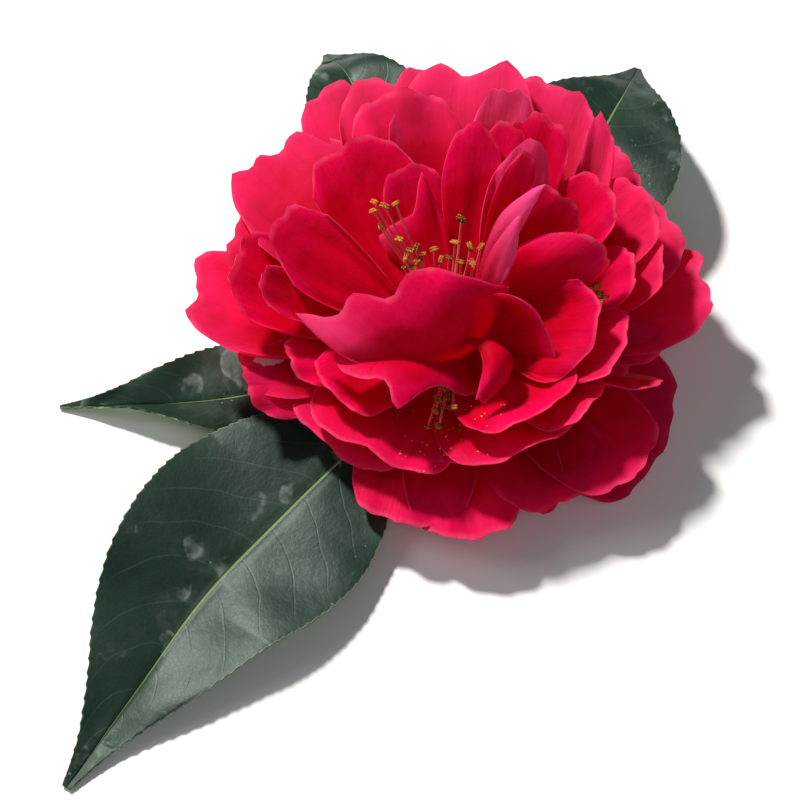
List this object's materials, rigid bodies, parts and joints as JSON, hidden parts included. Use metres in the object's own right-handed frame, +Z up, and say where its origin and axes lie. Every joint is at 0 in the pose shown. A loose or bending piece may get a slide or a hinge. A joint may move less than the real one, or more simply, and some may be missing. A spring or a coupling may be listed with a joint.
{
  "type": "camellia flower",
  "caption": "Large loose double red camellia with golden stamens, on a short cut twig with four dark toothed leaves, lying face up as picked.",
  "frame": {"origin": "middle of the bounding box in plan, at the surface the spray lies on", "axes": "+Z up, the way the bloom faces; +Y along the twig towards its cut end; +X to the right when the bloom is seen with the cut end away from the viewer"},
  "size_m": [0.1242, 0.16, 0.0443],
  "materials": {
    "petal_red": "soft satin petal tissue, crimson with paler pink rims",
    "stamen_gold": "dusty golden-brown anthers on pink filaments",
    "scale_green": "downy yellow-green bud scales with brown rims",
    "twig_bark": "dull grey-brown bark",
    "leaf_green": "waxy dark green, glossy above"
  },
  "bodies": {
    "root": {"corolla": "petal_red", "stamens_center": "stamen_gold", "stamens_front": "stamen_gold", "stamens_side": "stamen_gold", "calyx": "scale_green", "twig": "twig_bark", "leaf_lower_left": "leaf_green", "leaf_left": "leaf_green", "leaf_upper_left": "leaf_green", "leaf_upper_right": "leaf_green"}
  },
  "joints": []
}
